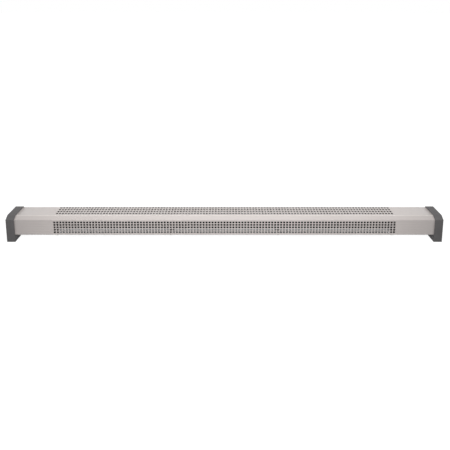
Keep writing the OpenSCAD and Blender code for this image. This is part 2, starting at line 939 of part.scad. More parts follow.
function cutout_tab(i) = [cutout_end + tab_length + fit_gap, cutout_tab_places[i], cutout_height];
function pin_tab(i) = [pin_end + tab_length + fit_gap, legs[i], tube_height];
function pole_entry(i) = [poles[i], block_front + wire_seat, block_entry];

module live_wire() {
    a = pole_entry(0);
    b = cutout_tab(0);
    color([0.45, 0.27, 0.15])
        wire([a, a + block_pull, b + cutout_pull, b]);
}

module link_wire() {
    a = cutout_tab(1);
    b = pin_tab(0);
    color([0.45, 0.27, 0.15])
        wire([a, a + link_pull, b + [link_pull.x, 0, -link_pull.z], b]);
}

module neutral_wire() {
    a = pole_entry(1);
    b = pin_tab(1);
    color([0.15, 0.30, 0.60])
        wire([a, a + block_pull, [b.x + neutral_pull.x, b.y + neutral_pull.y, block_top + neutral_rise], b]);
}

module earth_wire() {
    a = pole_entry(2);
    b = [earth_x, wall_inner - earth_length - fit_gap, earth_z];
    color([0.35, 0.55, 0.20])
        wire([a, a + block_pull, b + stud_pull, b]);
}

// Supply inlet

module cable_gland() {
    color([0.16, 0.16, 0.16])
        difference() {
            union() {
                bar_z(inlet_x, inlet_y, floor_gap - gland_head, floor_gap, gland_flange);
                bar_z(inlet_x, inlet_y, floor_gap - past, floor_top + gland_rise, gland_thread);
            }
            bar_z(inlet_x, inlet_y, floor_gap - gland_head - past, floor_top + gland_rise + past,
                gland_bore);
        }
}

module gland_nut() {
    bottom = floor_gap + chassis_sheet;
    color([0.16, 0.16, 0.16])
        difference() {
            translate([inlet_x, inlet_y, bottom])
                cylinder(h = gland_nut_thickness, d = gland_hex, $fn = 6);
            bar_z(inlet_x, inlet_y, bottom - past, bottom + gland_nut_thickness + past,
                gland_thread);
        }
}

// Fasteners

module cap_screws() {
    seat = heater_length/2 - screw_head;
    color([0.60, 0.60, 0.60])
        for (side = [0, 1], y = cap_screw_places)
            mirror([side, 0, 0]) {
                bar_x(casing_end - end_sheet - screw_reach, seat, y, cap_screw_height,
                    screw_diameter);
                bar_x(seat, seat + screw_head - fit_gap, y, cap_screw_height, head_diameter);
            }
}

module cover_screws() {
    color([0.75, 0.75, 0.74])
        for (x = screwed_flanges) {
            bar_z(x, cover_screw_y, floor_gap, floor_top + chassis_sheet + screw_reach, screw_diameter);
            bar_z(x, cover_screw_y, floor_gap - screw_head, floor_gap, head_diameter);
        }
}

module wiring_cover_screws() {
    color([0.75, 0.75, 0.74])
        for (side = [0, 1], x = wiring_cover_places)
            mirror([side, 0, 0]) {
                bar_z(x, wiring_cover_y, floor_gap, floor_top + end_sheet + screw_reach,
                    screw_diameter);
                bar_z(x, wiring_cover_y, floor_gap - screw_head, floor_gap, head_diameter);
            }
}

module chassis_rivets() {
    color([0.75, 0.75, 0.74])
        for (b = brackets) {
            x = flange_middle(b);
            bar_z(x, base_rivet_y, floor_gap, floor_top + b[2], rivet_diameter);
            bar_z(x, base_rivet_y, floor_gap - rivet_head, floor_gap, set_head*rivet_diameter);
            bar_z(x, base_rivet_y, floor_top + b[2], floor_top + b[2] + rivet_head,
                pressed_head*rivet_diameter);
            for (z = wall_rivet_heights) {
                bar_y(x, wall_inner - b[2], wall_outer, z, rivet_diameter);
                bar_y(x, wall_outer, wall_outer + rivet_head, z, set_head*rivet_diameter);
                bar_y(x, wall_inner - b[2] - rivet_head, wall_inner - b[2], z,
                    pressed_head*rivet_diameter);
            }
        }
}

module baffle_rivets() {
    inner = partition_x - chassis_sheet;
    outer = partition_x + chassis_sheet;
    back = baffle_back + chassis_sheet;
    color([0.10, 0.10, 0.10])
        for (side = [0, 1], z = baffle_rivet_heights)
            mirror([side, 0, 0]) {
                bar_x(inner, outer, baffle_rivet_y, z, rivet_diameter);
                bar_x(outer, outer + rivet_head, baffle_rivet_y, z, pressed_head*rivet_diameter);
                bar_x(inner - rivet_head, inner, baffle_rivet_y, z, set_head*rivet_diameter);
                bar_y(baffle_rivet_x, baffle_front, back, z, rivet_diameter);
                bar_y(baffle_rivet_x, back, back + rivet_head, z, pressed_head*rivet_diameter);
                bar_y(baffle_rivet_x, baffle_front - rivet_head, baffle_front, z,
                    set_head*rivet_diameter);
            }
}

front_cover();
end_cap_left();
end_cap_right();
back_plate();
base_plate();
wiring_cover_left();
wiring_cover_right();
end_plate_left();
end_plate_right();
partition_left();
partition_right();
middle_supports();
air_baffle();
baffle_brackets();
heating_tube();
heating_fins();
element_bushes();
element_nuts();
terminal_beads();
terminal_pins();
overheat_cutout();
cutout_screws();
terminal_block();
clamp_screws();
block_screws();
earth_stud();
earth_nut();
live_wire();
link_wire();
neutral_wire();
earth_wire();
cable_gland();
gland_nut();
cap_screws();
cover_screws();
wiring_cover_screws();
chassis_rivets();
baffle_rivets();
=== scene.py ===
import json
import math

import bmesh
import bpy
from mathutils import Matrix, Vector


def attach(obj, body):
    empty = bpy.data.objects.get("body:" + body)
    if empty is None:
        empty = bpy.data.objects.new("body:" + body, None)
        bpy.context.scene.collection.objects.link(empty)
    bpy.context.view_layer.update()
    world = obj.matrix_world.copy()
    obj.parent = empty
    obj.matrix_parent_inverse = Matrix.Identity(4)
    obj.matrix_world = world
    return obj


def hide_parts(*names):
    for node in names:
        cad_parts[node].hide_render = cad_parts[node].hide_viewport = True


# Looks for the plinth convector heater.
# Lengths are in metres, X along the heater, -Y to the front, Z up from the floor.

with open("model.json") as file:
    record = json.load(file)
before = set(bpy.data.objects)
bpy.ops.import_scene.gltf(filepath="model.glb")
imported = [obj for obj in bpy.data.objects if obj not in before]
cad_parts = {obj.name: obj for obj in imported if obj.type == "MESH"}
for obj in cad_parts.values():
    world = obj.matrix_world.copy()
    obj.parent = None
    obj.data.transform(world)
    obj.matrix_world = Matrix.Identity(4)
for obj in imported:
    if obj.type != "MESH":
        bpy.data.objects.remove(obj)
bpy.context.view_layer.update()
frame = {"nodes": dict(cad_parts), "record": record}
print("frame loaded:", len(frame["nodes"]), "nodes")

mm = 0.001
touch = 0.01 * mm  # how near counts as in one plane


# Section that the casing and the caps share

section = dict(length=1172 * mm, depth=70 * mm, height=71 * mm, bevelDepth=14 * mm,
               bevelHeight=8 * mm, proud=1.5 * mm, capWidth=22.5 * mm, overlap=6 * mm, gap=19 * mm)
slope = math.hypot(section["bevelDepth"], section["bevelHeight"])


def creaseAt(inset):
    s = section
    return s["height"] - s["bevelHeight"] - inset * (slope - s["bevelHeight"]) / s["bevelDepth"]


def bendAt(inset):
    s = section
    return -s["depth"] / 2 + s["bevelDepth"] + inset * (slope - s["bevelDepth"]) / s["bevelHeight"]


# Helpers for nodes

def startMaterial(name):
    material = bpy.data.materials.new(name)
    material.use_nodes = True
    tree = material.node_tree
    tree.nodes.clear()
    out = tree.nodes.new("ShaderNodeOutputMaterial")
    shader = tree.nodes.new("ShaderNodeBsdfPrincipled")
    tree.links.new(shader.outputs["BSDF"], out.inputs["Surface"])
    coords = tree.nodes.new("ShaderNodeTexCoord")
    return material, tree, shader, coords.outputs["Object"]


def addNoise(tree, coords, scale, detail=2.0, stretch=None):
    noise = tree.nodes.new("ShaderNodeTexNoise")
    noise.inputs["Scale"].default_value = scale
    noise.inputs["Detail"].default_value = detail
    if stretch:
        mapping = tree.nodes.new("ShaderNodeMapping")
        mapping.inputs["Scale"].default_value = stretch
        tree.links.new(coords, mapping.inputs["Vector"])
        coords = mapping.outputs["Vector"]
    tree.links.new(coords, noise.inputs["Vector"])
    return noise.outputs["Fac"]


def addRamp(tree, value, stops):
    ramp = tree.nodes.new("ShaderNodeValToRGB")
    first, last = ramp.color_ramp.elements
    first.position, first.color = stops[0][0], (*stops[0][1], 1)
    last.position, last.color = stops[-1][0], (*stops[-1][1], 1)
    for place, colour in stops[1:-1]:
        ramp.color_ramp.elements.new(place).color = (*colour, 1)
    tree.links.new(value, ramp.inputs["Fac"])
    return ramp.outputs["Color"]


def addRange(tree, value, low, high, fromLow=0.3, fromHigh=0.7):
    spread = tree.nodes.new("ShaderNodeMapRange")
    spread.inputs["From Min"].default_value = fromLow
    spread.inputs["From Max"].default_value = fromHigh
    spread.inputs["To Min"].default_value = low
    spread.inputs["To Max"].default_value = high
    tree.links.new(value, spread.inputs["Value"])
    return spread.outputs["Result"]


def addMix(tree, factor, colour, other):
    # goes from a colour of the nodes to a fixed one; sockets 6 and 7 are the colours of a mix
    mix = tree.nodes.new("ShaderNodeMix")
    mix.data_type = "RGBA"
    tree.links.new(factor, mix.inputs[0])
    tree.links.new(colour, mix.inputs[6])
    mix.inputs[7].default_value = (*other, 1)
    return mix.outputs[2]


def addBump(tree, shader, heights):
    last = None
    for height, strength, distance in heights:
        bump = tree.nodes.new("ShaderNodeBump")
        bump.inputs["Strength"].default_value = strength
        bump.inputs["Distance"].default_value = distance
        tree.links.new(height, bump.inputs["Height"])
        if last:
            tree.links.new(last, bump.inputs["Normal"])
        last = bump.outputs["Normal"]
    tree.links.new(last, shader.inputs["Normal"])


def awayFrom(tree, coords, line):
    # distance from a line along X
    flat = tree.nodes.new("ShaderNodeVectorMath")
    flat.operation = "MULTIPLY"
    flat.inputs[1].default_value = (0, 1, 1)
    tree.links.new(coords, flat.inputs[0])
    gap = tree.nodes.new("ShaderNodeVectorMath")
    gap.operation = "DISTANCE"
    gap.inputs[1].default_value = line
    tree.links.new(flat.outputs["Vector"], gap.inputs[0])
    return gap.outputs["Value"]


# Materials

def makePaint(name, look):
    material, tree, shader, coords = startMaterial(name)
    cloud = addNoise(tree, coords, look["cloudScale"], 3)
    colour = addRamp(tree, cloud, [(0.3, look["dark"]), (0.7, look["light"])])
    if "paintedHighlightFold" in look:
        # painted highlight: the coat is painted paler along a fold, where the bend would catch a
        # highlight
        paintedHighlight = addRange(tree, awayFrom(tree, coords, look["paintedHighlightFold"]), 1.0, 0.0, 0.0, look["paintedHighlightReach"])
        colour = addMix(tree, paintedHighlight, colour, look["paintedHighlightColour"])
    tree.links.new(colour, shader.inputs["Base Color"])
    peel = addNoise(tree, coords, look["peelScale"], 2)
    tree.links.new(addRange(tree, peel, *look["roughness"]), shader.inputs["Roughness"])
    speck = addNoise(tree, coords, look["peelScale"] * 4, 1)
    addBump(tree, shader, [(peel, look["peel"], 0.2 * mm), (speck, look["speck"], 0.05 * mm)])
    shader.inputs["Coat Weight"].default_value = look["coat"]
    shader.inputs["Coat Roughness"].default_value = look["coatRoughness"]
    return material


def makePlastic(name, look):
    material, tree, shader, coords = startMaterial(name)
    flow = addNoise(tree, coords, look["flowScale"], 3)
    colour = addRamp(tree, flow, [(0.3, look["dark"]), (0.7, look["light"])])
    grain = addNoise(tree, coords, look["grainScale"], 2)
    worn = addNoise(tree, coords, look["grainScale"] * 0.13, 4)
    dust = addRange(tree, worn, 0.0, look["dust"], 0.55, 0.8)
    colour = addMix(tree, dust, colour, look["dustColour"])
    tree.links.new(colour, shader.inputs["Base Color"])
    tree.links.new(addRange(tree, grain, *look["roughness"]), shader.inputs["Roughness"])
    shader.inputs["Specular IOR Level"].default_value = look.get("specular", 0.5)
    addBump(tree, shader, [(grain, look["grain"], 0.2 * mm)])
    return material


def makeMetal(name, look):
    material, tree, shader, coords = startMaterial(name)
    shader.inputs["Metallic"].default_value = 1.0
    brush = addNoise(tree, coords, look["brushScale"], 3, look["brush"])
    colour = addRamp(tree, brush, [(0.3, look["dark"]), (0.7, look["light"])])
    if "tint" in look:
        heat = addNoise(tree, coords, look["heatScale"], 3, look["heat"])
        colour = addMix(tree, addRange(tree, heat, 0.0, 0.7), colour, look["tint"])
    tree.links.new(colour, shader.inputs["Base Color"])
    tree.links.new(addRange(tree, brush, *look["roughness"]), shader.inputs["Roughness"])
    addBump(tree, shader, [(brush, look["bump"], 0.1 * mm)])
    return material


def makeGalvanised(name, look):
    material, tree, shader, coords = startMaterial(name)
    shader.inputs["Metallic"].default_value = 1.0
    crystals = tree.nodes.new("ShaderNodeTexVoronoi")
    crystals.inputs["Scale"].default_value = look["spangleScale"]
    tree.links.new(coords, crystals.inputs["Vector"])
    tone = tree.nodes.new("ShaderNodeSeparateColor")
    tree.links.new(crystals.outputs["Color"], tone.inputs["Color"])
    shade = tone.outputs["Red"]  # one random grey for each crystal
    colour = addRamp(tree, shade, [(0.0, look["dark"]), (1.0, look["light"])])
    film = addNoise(tree, coords, look["filmScale"], 4)
    colour = addMix(tree, addRange(tree, film, 0.0, 0.5), colour, look["bloom"])
    tree.links.new(colour, shader.inputs["Base Color"])
    tree.links.new(addRange(tree, shade, *look["roughness"], 0.0, 1.0), shader.inputs["Roughness"])
    addBump(tree, shader, [(film, look["bump"], 0.1 * mm)])
    return material


materials = {
    "casing_paint": makePaint("casingPaint", dict(
        dark=(0.712, 0.652, 0.628), light=(0.742, 0.682, 0.658), cloudScale=9, peelScale=700,
        roughness=(0.38, 0.48), peel=0.06, speck=0.03, coat=0.4, coatRoughness=0.12,
        # painted highlight along the top fold, between the bevel and the top
        paintedHighlightFold=(0, bendAt(section["proud"]), section["height"] - section["proud"]),
        paintedHighlightReach=2.4 * mm, paintedHighlightColour=(0.90, 0.84, 0.79))),
    # painted shade: the baffle behind the front grille is a real part, and its near-black paint stands
    # in for the shade inside the heater seen through the front holes
    "black_paint": makePaint("baffleShadePaint", dict(
        dark=(0.010, 0.010, 0.010), light=(0.016, 0.015, 0.014), cloudScale=25, peelScale=900,
        roughness=(0.6, 0.75), peel=0.2, speck=0.1, coat=0.0, coatRoughness=0.3)),
    "cap_plastic": makePlastic("capPlastic", dict(
        dark=(0.158, 0.153, 0.155), light=(0.182, 0.176, 0.178), flowScale=35, grainScale=1800,
        roughness=(0.68, 0.82), grain=0.35, dust=0.12, dustColour=(0.26, 0.25, 0.25), specular=0.2)),
    "black_plastic": makePlastic("blackPlastic", dict(
        dark=(0.016, 0.016, 0.016), light=(0.024, 0.024, 0.024), flowScale=60, grainScale=2400,
        roughness=(0.4, 0.55), grain=0.25, dust=0.15, dustColour=(0.12, 0.12, 0.11))),
    "cream_plastic": makePlastic("creamPlastic", dict(
        dark=(0.70, 0.66, 0.56), light=(0.76, 0.73, 0.64), flowScale=90, grainScale=2000,
        roughness=(0.35, 0.5), grain=0.2, dust=0.1, dustColour=(0.55, 0.50, 0.42))),
    "brown_sleeving": makePlastic("brownSleeving", dict(
        dark=(0.13, 0.055, 0.022), light=(0.18, 0.08, 0.035), flowScale=200, grainScale=3000,
        roughness=(0.45, 0.6), grain=0.15, dust=0.1, dustColour=(0.3, 0.22, 0.16))),
    "blue_sleeving": makePlastic("blueSleeving", dict(
        dark=(0.02, 0.06, 0.26), light=(0.035, 0.09, 0.36), flowScale=200, grainScale=3000,
        roughness=(0.45, 0.6), grain=0.15, dust=0.1, dustColour=(0.2, 0.25, 0.4))),
    "green_sleeving": makePlastic("greenSleeving", dict(
        dark=(0.06, 0.24, 0.03), light=(0.12, 0.34, 0.05), flowScale=200, grainScale=3000,
        roughness=(0.45, 0.6), grain=0.15, dust=0.1, dustColour=(0.4, 0.45, 0.2))),
    "ceramic": makePlastic("bareCeramic", dict(
        dark=(0.78, 0.75, 0.69), light=(0.86, 0.84, 0.79), flowScale=300, grainScale=5000,
        roughness=(0.6, 0.8), grain=0.4, dust=0.15, dustColour=(0.6, 0.55, 0.48))),
    "galvanised_sheet": makeGalvanised("galvanisedSheet", dict(
        dark=(0.44, 0.45, 0.46), light=(0.66, 0.67, 0.68), bloom=(0.58, 0.59, 0.61),
        spangleScale=140, filmScale=60, roughness=(0.34, 0.52), bump=0.15)),
    "tube_steel": makeMetal("tubeSteel", dict(
        dark=(0.34, 0.32, 0.29), light=(0.46, 0.44, 0.41), tint=(0.36, 0.26, 0.16),
        heatScale=14, heat=(1.0, 3.0, 3.0), brushScale=900, brush=(0.05, 1.0, 1.0),
        roughness=(0.3, 0.45), bump=0.2)),
    "fin_aluminium": makeMetal("finAluminium", dict(
        dark=(0.72, 0.73, 0.74), light=(0.84, 0.85, 0.86), brushScale=600,
        brush=(1.0, 1.0, 0.08), roughness=(0.3, 0.42), bump=0.15)),
    "rivet_aluminium": makeMetal("rivetAluminium", dict(
        dark=(0.52, 0.52, 0.53), light=(0.66, 0.66, 0.67), brushScale=2500,
        brush=(1.0, 1.0, 1.0), roughness=(0.35, 0.5), bump=0.2)),
    "brass": makeMetal("turnedBrass", dict(
        dark=(0.58, 0.42, 0.17), light=(0.72, 0.56, 0.26), brushScale=1800,
        brush=(1.0, 0.2, 0.2), roughness=(0.25, 0.4), bump=0.15)),
    "plated_steel": makeMetal("platedSteel", dict(
        dark=(0.50, 0.50, 0.48), light=(0.62, 0.62, 0.60), brushScale=2200,
        brush=(1.0, 1.0, 1.0), roughness=(0.28, 0.42), bump=0.15)),
}
slotOfNode = {s["node"]: s["material_slot"] for s in frame["record"]["subparts"]}
for nodeName, node in frame["nodes"].items():
    node.data.materials.clear()
    node.data.materials.append(materials[slotOfNode[nodeName]])
print("materials ready")


# Helpers for meshes

def finishPiece(name, bm, slot, replaced, smoothAngle=32):
    bmesh.ops.recalc_face_normals(bm, faces=bm.faces)
    mesh = bpy.data.meshes.new(name)
    bm.to_mesh(mesh)
    bm.free()
    mesh.shade_smooth()
    mesh.set_sharp_from_angle(angle=math.radians(smoothAngle))
    mesh.materials.append(materials[slot])
    piece = bpy.data.objects.new(name, mesh)
    bpy.context.scene.collection.objects.link(piece)
    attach(piece, "root")
    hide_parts(*replaced)
    return piece


def addPart(bm, part, matrix):
    part.transform(matrix)
    mesh = bpy.data.meshes.new("part")
    part.to_mesh(mesh)
    part.free()
    bm.from_mesh(mesh)
    bpy.data.meshes.remove(mesh)


def aim(spot, towards, turned=0.0):
    # local Z points towards, after a turn about it
    return (Matrix.Translation(spot) @ Vector(towards).to_track_quat("Z", "Y").to_matrix().to_4x4()
            @ Matrix.Rotation(turned, 4, "Z"))


def vertsIn(geom):
    return [g for g in geom if isinstance(g, bmesh.types.BMVert)]


def pullEdges(bm, edges):
    # draws new faces out of a row of edges; gives back their points and their far edges
    made = bmesh.ops.extrude_edge_only(bm, edges=edges)["geom"]
    verts = vertsIn(made)
    moved = set(verts)
    return verts, [g for g in made if isinstance(g, bmesh.types.BMEdge) and set(g.verts) <= moved]


def growFace(bm, face, height, radius):
    # steps a round face on to a new height and radius
    made = bmesh.ops.extrude_face_region(bm, geom=[face])["geom"]
    for vert in vertsIn(made):
        vert.co.xy = vert.co.xy.normalized() * radius
        vert.co.z = height
    return next(g for g in made if isinstance(g, bmesh.types.BMFace))


def turnSolid(levels, segments=24):
    # a turned solid about Z; levels are radius and height, from the bottom up
    part = bmesh.new()
    radius, height = levels[0]
    bmesh.ops.create_circle(part, cap_ends=True, radius=radius, segments=segments,
                            matrix=Matrix.Translation((0, 0, height)))
    face = part.faces[:][0]
    for radius, height in levels[1:]:
        face = growFace(part, face, height, radius)
    return part, face


def spinRing(profile, segments=32):
    # a ring about Z; the profile is a closed loop of radius and height
    part = bmesh.new()
    loop = [part.verts.new((radius, 0, height)) for radius, height in profile]
    edges = [part.edges.new((loop[i - 1], loop[i])) for i in range(len(loop))]
    bmesh.ops.spin(part, geom=loop + edges, cent=(0, 0, 0), axis=(0, 0, 1), dvec=(0, 0, 0),
                   angle=2 * math.pi, steps=segments, use_merge=True)
    return part


def openFace(bm, face, outlines):
    # cuts outlines into a flat face and gives back the edges of each
    rim = list(face.edges)
    bmesh.ops.delete(bm, geom=[face], context="FACES_ONLY")
    lips = []
    for outline in outlines:
        loop = [bm.verts.new(point) for point in outline]
        lips.append([bm.edges.new((loop[i - 1], loop[i])) for i in range(len(loop))])
    bmesh.ops.triangle_fill(bm, edges=rim + sum(lips, []), use_beauty=True)
    return lips


def sinkEdges(bm, lips, push, share=1.0):
    # draws a loop of edges in to a flat floor, which may be smaller than its mouth
    verts, floorEdges = pullEdges(bm, lips)
    middle = sum((v.co for v in verts), Vector()) / len(verts)
    for vert in verts:
        vert.co = middle + (vert.co - middle) * share + Vector(push)
    return bmesh.ops.contextual_create(bm, geom=floorEdges)["faces"][0]


def circlePoints(middle, radius, across, up, segments=24):
    middle, across, up = Vector(middle), Vector(across), Vector(up)
    turns = [2 * math.pi * k / segments for k in range(segments)]
    return [middle + radius * (math.cos(t) * across + math.sin(t) * up) for t in turns]


def addModifier(piece, kind, **settings):
    modifier = piece.modifiers.new(kind.title(), kind)
    for key, value in settings.items():
        setattr(modifier, key, value)


def roundCorner(before, corner, after, radius, steps):
    toBefore = (before - corner).normalized()
    toAfter = (after - corner).normalized()
    half = toBefore.angle(toAfter) / 2
    middle = corner + (toBefore + toAfter).normalized() * radius / math.sin(half)
    start = corner + toBefore * radius / math.tan(half) - middle
    end = corner + toAfter * radius / math.tan(half) - middle
    turn = start.angle_signed(end)
    return [middle + Matrix.Rotation(-turn * k / steps, 2) @ start for k in range(steps + 1)]


def roundPath(points, radius, steps):
    points = [Vector(p) for p in points]
    made = [points[0]]
    for i in range(1, len(points) - 1):
        made += roundCorner(points[i - 1], points[i], points[i + 1], radius, steps)
    return made + [points[-1]]


# Casing: the outside of the sheet is swept along X, the holes are left out,
# then the sheet gets its thickness

casing = dict(sheet=1 * mm, fold=2 * mm, foldSteps=6, bottomFlange=9 * mm, backFlange=10 * mm,
              columns=115, pitch=8 * mm, holeWidth=5.4 * mm,
              frontRows=5, frontPitch=7 * mm, frontHole=5 * mm, frontMargin=7 * mm,
              topRows=4, topPitch=12.1 * mm, topHole=7.5 * mm, topMargin=11.5 * mm,
              edge=0.14 * mm, edgeAngle=50)


def makeCasing():
    c, s = casing, section
    front = -s["depth"] / 2 + s["proud"]
    back = -front
    top = s["height"] - s["proud"]
    crease, bend = creaseAt(s["proud"]), bendAt(s["proud"])
    frontRows = [crease - c["frontMargin"] - r * c["frontPitch"] for r in range(c["frontRows"])]
    topRows = [bend + c["topMargin"] + r * c["topPitch"] for r in range(c["topRows"])]
    corners = [(front + c["bottomFlange"], s["gap"]), (front, s["gap"]), (front, crease),
               (bend, top), (back, top), (back, top - c["backFlange"])]
    path = roundPath(corners, c["fold"], c["foldSteps"])
    # the edges of the hole rows become points of the section too
    rowEdges = [Vector((front, z + side * c["frontHole"] / 2)) for z in frontRows for side in (-1, 1)]
    rowEdges += [Vector((y + side * c["topHole"] / 2, top)) for y in topRows for side in (-1, 1)]
    for point in rowEdges:
        detours = [(path[i] - point).length + (path[i + 1] - point).length
                   - (path[i + 1] - path[i]).length for i in range(len(path) - 1)]
        path.insert(detours.index(min(detours)) + 1, point)

    half = s["length"] / 2 - s["capWidth"] + s["overlap"]
    firstColumn = -(c["columns"] - 1) / 2 * c["pitch"]
    columns = [firstColumn + i * c["pitch"] for i in range(c["columns"])]
    stations = [-half] + [x + side * c["holeWidth"] / 2 for x in columns for side in (-1, 1)] + [half]

    bm = bmesh.new()
    row = [bm.verts.new((stations[0], p.x, p.y)) for p in path]
    edges = [bm.edges.new(pair) for pair in zip(row, row[1:])]
    for step in (b - a for a, b in zip(stations, stations[1:])):
        verts, edges = pullEdges(bm, edges)
        bmesh.ops.translate(bm, verts=verts, vec=(step, 0, 0))

    def isHole(face):
        middle = face.calc_center_median()
        column = (middle.x - firstColumn) / c["pitch"]
        if abs(column - round(column)) > c["holeWidth"] / c["pitch"] / 2:
            return False
        if not -0.5 < column < c["columns"] - 0.5:
            return False
        if abs(middle.y - front) < touch:
            return any(abs(middle.z - z) < touch for z in frontRows)
        return abs(middle.z - top) < touch and any(abs(middle.y - y) < touch for y in topRows)

    holes = [face for face in bm.faces if isHole(face)]
    bmesh.ops.delete(bm, geom=holes, context="FACES")
    piece = finishPiece("casing", bm, "casing_paint", ["front_cover"])
    addModifier(piece, "SOLIDIFY", thickness=c["sheet"], offset=-1, use_even_offset=True)
    addModifier(piece, "BEVEL", width=c["edge"], segments=1, limit_method="ANGLE",
                angle_limit=math.radians(c["edgeAngle"]))
    print("casing made with", len(holes), "holes")


# End caps

cap = dict(wall=2.5 * mm, corner=2 * mm, cornerSteps=6, pocketGap=0.2 * mm, footRoom=16.3 * mm,
           footDraft=0.985, endEdge=0.6 * mm, endSteps=4, innerEdge=0.25 * mm, innerSteps=2,
           smoothAngle=40, screwSpacing=30 * mm, screwHeight=44 * mm, recess=3.7 * mm,
           recessDepth=2 * mm)


def capOutline(inset, bottom):
    front = -section["depth"] / 2 + inset
    top = section["height"] - inset
    return [(front, bottom), (front, creaseAt(inset)), (bendAt(inset), top), (-front, top),
            (-front, bottom)]


def softenFace(bm, face, offset, segments):
    bmesh.ops.bevel(bm, geom=list(face.edges), offset=offset, offset_type="OFFSET",
                    segments=segments, profile=0.5, affect="EDGES", material=-1, clamp_overlap=True)


def flatFace(bm, test):
    # the largest face whose middle passes the test
    return max((f for f in bm.faces if test(f.calc_center_median())), key=lambda f: f.calc_area())


def makeCap(name, node, side):
    c, s = cap, section
    half = s["length"] / 2
    inner = half - s["capWidth"]
    bm = bmesh.new()
    outline = roundPath(capOutline(0, 0), c["corner"], c["cornerSteps"])
    face = bm.faces.new([bm.verts.new((half, p.x, p.y)) for p in outline])
    made = bmesh.ops.extrude_face_region(bm, geom=[face])["geom"]
    bmesh.ops.translate(bm, verts=vertsIn(made), vec=(-s["capWidth"], 0, 0))
    softenFace(bm, flatFace(bm, lambda p: p.x > half - touch), c["endEdge"], c["endSteps"])
    softenFace(bm, flatFace(bm, lambda p: p.x < inner + touch), c["innerEdge"], c["innerSteps"])

    # the casing slides into a pocket in the inner side
    gap = c["pocketGap"]
    pocket = [(inner, y, z) for y, z in capOutline(s["proud"] - gap, s["gap"] - gap)]
    innerFace = flatFace(bm, lambda p: p.x < inner + touch)
    lips = openFace(bm, innerFace, [pocket])[0]
    sinkEdges(bm, lips, (s["overlap"] + gap, 0, 0))

    # the foot is hollow from below
    low, high = inner + c["wall"], half - c["wall"]
    reach = s["depth"] / 2 - c["wall"]
    hollow = [(low, -reach, 0), (high, -reach, 0), (high, reach, 0), (low, reach, 0)]
    sole = flatFace(bm, lambda p: p.z < touch)
    lips = openFace(bm, sole, [hollow])[0]
    sinkEdges(bm, lips, (0, 0, c["footRoom"]), c["footDraft"])

    # round recesses for the screw heads
    endFace = flatFace(bm, lambda p: p.x > half - touch)
    rings = [circlePoints((half, y, c["screwHeight"]), c["recess"], (0, 1, 0), (0, 0, 1), 40)
             for y in (-c["screwSpacing"] / 2, c["screwSpacing"] / 2)]
    for lips in openFace(bm, endFace, rings):
        sinkEdges(bm, lips, (-c["recessDepth"], 0, 0))
    if side < 0:
        bmesh.ops.scale(bm, vec=(-1, 1, 1), verts=bm.verts)
    finishPiece(name, bm, "cap_plastic", [node], c["smoothAngle"])


# Places inside that several pieces share

inside = dict(partition=444 * mm, support=152 * mm, casingEnd=569.5 * mm, sheet=1 * mm,
              endSheet=1.5 * mm, flange=12 * mm, endFlange=17 * mm, wall=31.5 * mm,
              wallBack=32.5 * mm, legs=(-6 * mm, 21 * mm), tubeHeight=48 * mm, tubeEnd=467 * mm)


# Screws with pan heads, cross recesses and rolled threads

screws = dict(
    casing=dict(head=7 * mm, rise=2 * mm, shank=3.5 * mm, length=5 * mm),
    wiringCover=dict(head=7 * mm, rise=2 * mm, shank=3.5 * mm, length=5.5 * mm),
    cap=dict(head=7 * mm, rise=1.8 * mm, shank=3.5 * mm, length=19 * mm),
    cutout=dict(head=5.7 * mm, rise=2 * mm, shank=3 * mm, length=5 * mm),
    block=dict(head=6 * mm, rise=2 * mm, shank=3.5 * mm, length=18 * mm))
screwPlaces = dict(casingY=-28.5 * mm, wiringCoverY=-13 * mm, wiringCoverEnd=8.5 * mm,
                   cutoutY=7.5 * mm, cutoutHeights=(25.5 * mm, 44.5 * mm), cutoutSeat=2 * mm,
                   blockColumns=(500.5 * mm, 511.5 * mm), blockY=15 * mm, blockSeat=34 * mm)
thread = dict(pitch=1.2 * mm, depth=0.16, point=0.4)  # depth and point as shares of the shank
crossRecess = dict(reach=0.56, width=0.13, depth=0.55, floor=0.6)  # as shares of the head


def crossPoints(reach, width, height):
    arm = [(reach, -width), (reach, width), (width, width)]
    turns = [Matrix.Rotation(math.pi / 2 * k, 2) for k in range(4)]
    return [(*(turn @ Vector(p)), height) for turn in turns for p in arm]


def addScrew(bm, spot, towards, look, turned):
    # the seat is at spot, the head looks towards
    radius, rise, shank = look["head"] / 2, look["rise"], look["shank"] / 2
    part, top = turnSolid([(radius, 0), (radius, 0.5 * rise), (0.93 * radius, 0.78 * rise),
                           (0.8 * radius, 0.94 * rise), (0.66 * radius, rise)], 32)
    c = crossRecess
    cross = crossPoints(c["reach"] * radius, c["width"] * radius, rise)
    sinkEdges(part, openFace(part, top, [cross])[0], (0, 0, -c["depth"] * rise), c["floor"])
    face = growFace(part, flatFace(part, lambda p: p.z < touch), 0, shank)
    turns = int(look["length"] / thread["pitch"])
    for k in range(turns):
        height = -(k + 0.5) * thread["pitch"]
        face = growFace(part, face, height, shank * (1 - thread["depth"]))
        face = growFace(part, face, height - thread["pitch"] / 2, shank)
    growFace(part, face, -look["length"], shank * thread["point"])
    addPart(bm, part, aim(spot, towards, turned))


